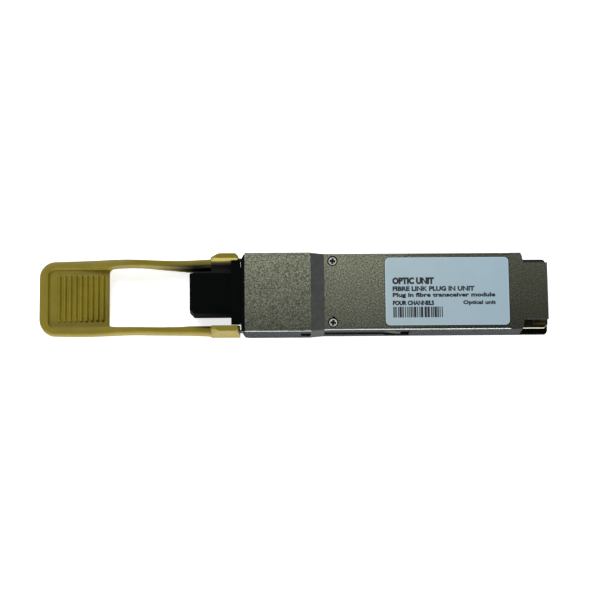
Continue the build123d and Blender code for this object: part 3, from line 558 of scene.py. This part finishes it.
# ---------------------------------------------------------------- softened edges
def soften(name, width_mm, segments=2, angle=35):
    """Round the edges of a CAD node by a small radius, as casting or moulding leaves them."""
    node = NODES[name]
    weld = node.modifiers.new("weld", "WELD")
    weld.merge_threshold = 1e-6
    bevel = node.modifiers.new("edges", "BEVEL")
    bevel.width = width_mm * MM
    bevel.segments = segments
    bevel.limit_method = "ANGLE"
    bevel.angle_limit = math.radians(angle)
    bevel.harden_normals = False
    bevel.use_clamp_overlap = True


def mould(name, voxel_mm, passes):
    """Turn a CAD node into a soft moulding: an even fine mesh whose edges are relaxed."""
    node = NODES[name]
    remesh = node.modifiers.new("even", "REMESH")
    remesh.mode = "VOXEL"
    remesh.voxel_size = voxel_mm * MM
    remesh.use_smooth_shade = True
    relax = node.modifiers.new("relax", "SMOOTH")
    relax.factor = 0.5
    relax.iterations = passes


def compress_springs():
    """A copy of the springs, unchanged in shape, that rides with the housing in place of the CAD
    node.
    """
    node = NODES["latch_return_springs"]
    springs = bpy.data.objects.new("compressed_springs", node.data.copy())
    springs.matrix_world = node.matrix_world
    bpy.context.scene.collection.objects.link(springs)
    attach(springs, "housing")
    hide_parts("latch_return_springs")
    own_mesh(springs)


# ---------------------------------------------------------------- print on the label
INK_LIFT = 0.006 * MM
INK_DEPTH = 0.006 * MM
PRINT_LEFT = 16.2
BARS_X = (PRINT_LEFT, 28.1)
BARS_Y = (-6.3, -3.75)
BAR_WIDTHS = (0.22, 0.32, 0.55)
BAR_GAPS = (0.14, 0.2, 0.3)
BAR_SEED = 7
# words, left and right ends, bottom and top, added stroke weight, all in mm
PRINT_LINES = (("OPTIC UNIT", (PRINT_LEFT, 25.8), (1.8, 3.2), 0.13),
               ("FIBRE LINK PLUG IN UNIT", (PRINT_LEFT, 35.4), (0.1, 1.1), 0.09),
               ("Plug in fibre transceiver module", (PRINT_LEFT, 40.3), (-1.6, -0.45), 0.085),
               ("FOUR CHANNELS", (PRINT_LEFT, 25.8), (-3.3, -2.35), 0.085),
               ("Optical unit", (32.8, 40.4), (-3.4, -2.35), 0.075))


def ink_mesh(name, build, material):
    """A flat printed piece that rides with the label."""
    mesh = bpy.data.meshes.new(name)
    shape = bmesh.new()
    build(shape)
    shape.to_mesh(mesh)
    shape.free()
    mesh.materials.append(material)
    piece = bpy.data.objects.new(name, mesh)
    bpy.context.scene.collection.objects.link(piece)
    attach(piece, "housing")
    return piece


def printed_text(name, words, ends, heights, weight, material):
    """Words squeezed or spread to fill the space between two ends and two heights (mm)."""
    left, right = ends
    low, high = heights
    curve = bpy.data.curves.new(name + "_outline", "FONT")
    curve.body = words
    curve.size = 1.0
    curve.resolution_u = 3
    source = bpy.data.objects.new(name + "_outline", curve)
    flat = bpy.data.meshes.new_from_object(source)
    bpy.data.objects.remove(source)
    xs = [v.co.x for v in flat.vertices]
    ys = [v.co.y for v in flat.vertices]
    scale_x = (right - left) * MM / (max(xs) - min(xs))
    scale_y = (high - low) * MM / (max(ys) - min(ys))
    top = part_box("product_label")[1][2] + INK_LIFT
    for v in flat.vertices:
        v.co = ((v.co.x - min(xs)) * scale_x + left * MM,
                (v.co.y - min(ys)) * scale_y + low * MM, top)

    def build(shape):
        shape.from_mesh(flat)
        embolden(shape, weight * MM)
        thicken(shape)
    ink_mesh(name, build, material)
    bpy.data.meshes.remove(flat)


def embolden(shape, distance):
    """Move the outline of flat faces outwards, so that strokes grow bolder."""
    bmesh.ops.remove_doubles(shape, verts=shape.verts[:], dist=1e-8)
    shifts = {}
    for edge in shape.edges:
        if len(edge.link_faces) == 1:
            a, b = edge.verts
            outward = (b.co - a.co).cross(Vector((0, 0, 1))).normalized()
            middle = (a.co + b.co) / 2
            if outward.dot(edge.link_faces[0].calc_center_median() - middle) > 0:
                outward.negate()
            for vert in edge.verts:
                shifts.setdefault(vert, []).append(outward)
    for vert, normals in shifts.items():
        mean = sum(normals, Vector()) / len(normals)
        vert.co += mean * distance / max(mean.length_squared, 0.5)


def thicken(shape):
    """Give flat faces the thickness of the ink, so that the print is a closed solid."""
    faces = shape.faces[:]
    made = bmesh.ops.extrude_face_region(shape, geom=faces)
    tops = [g for g in made["geom"] if isinstance(g, bmesh.types.BMVert)]
    bmesh.ops.translate(shape, verts=tops, vec=(0, 0, INK_DEPTH))
    bmesh.ops.recalc_face_normals(shape, faces=shape.faces[:])


def bar_code(shape):
    """A made-up row of bars that encodes nothing."""
    rng = random.Random(BAR_SEED)
    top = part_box("product_label")[1][2] + INK_LIFT
    x = BARS_X[0]
    while x < BARS_X[1] - 0.1:
        width = rng.choice(BAR_WIDTHS)
        end = min(x + width, BARS_X[1])
        corners = [(x, BARS_Y[0]), (end, BARS_Y[0]), (end, BARS_Y[1]), (x, BARS_Y[1])]
        verts = [shape.verts.new((cx * MM, cy * MM, top)) for cx, cy in corners]
        shape.faces.new(verts)
        x = end + rng.choice(BAR_GAPS)
    thicken(shape)


def add_print():
    ink = print_ink()
    for number, (words, ends, heights, weight) in enumerate(PRINT_LINES, 1):
        printed_text(f"label_line_{number}", words, ends, heights, weight, ink)
    ink_mesh("label_bar_code", bar_code, ink)


# ---------------------------------------------------------------- build
add_camera()
add_studio()
assign_materials()
soften("lower_housing", 0.06)
soften("upper_cover", 0.10)
soften("dust_plug", 0.12)
soften("front_bezel", 0.05)
mould("pull_tab", 0.17, 3)
add_print()
compress_springs()

bpy.context.scene.view_settings.view_transform = "Standard"
